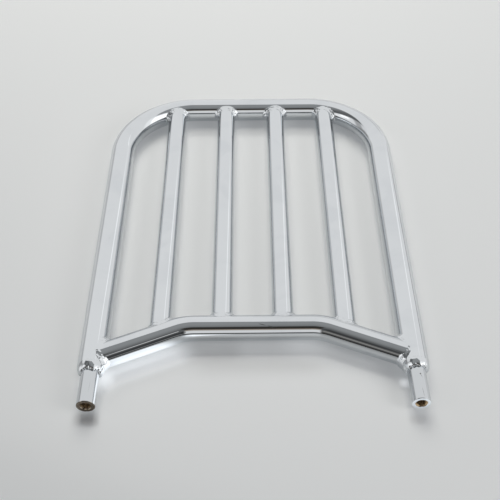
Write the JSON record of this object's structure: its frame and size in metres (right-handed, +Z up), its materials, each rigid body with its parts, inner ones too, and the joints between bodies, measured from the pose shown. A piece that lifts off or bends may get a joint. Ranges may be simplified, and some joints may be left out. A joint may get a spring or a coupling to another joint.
{
  "type": "motorcycle luggage rack",
  "caption": "Flat welded tube luggage rack: a U-shaped hoop, lengthwise slats, a bowed crossbar and threaded stub ends, chrome plated.",
  "frame": {"origin": "on the ground under the middle of the rack, at the bottom centre of its box", "axes": "+Y from the threaded stubs to the rear bar, +X to the right seen from the stubs, +Z up"},
  "size_m": [0.25, 0.3364, 0.02],
  "materials": {
    "chrome": "polished",
    "weld_bead": "polished, rippled"
  },
  "bodies": {
    "root": {"hoop": "chrome", "crossbar": "chrome", "slat_1": "chrome", "slat_2": "chrome", "slat_3": "chrome", "slat_4": "chrome", "stub_left": "chrome", "stub_right": "chrome", "weld_slat_1_rear": "weld_bead", "weld_slat_2_rear": "weld_bead", "weld_slat_3_rear": "weld_bead", "weld_slat_4_rear": "weld_bead", "weld_slat_1_front": "weld_bead", "weld_slat_2_front": "weld_bead", "weld_slat_3_front": "weld_bead", "weld_slat_4_front": "weld_bead", "weld_crossbar_left": "weld_bead", "weld_crossbar_right": "weld_bead", "weld_stub_left": "weld_bead", "weld_stub_right": "weld_bead"}
  },
  "joints": []
}
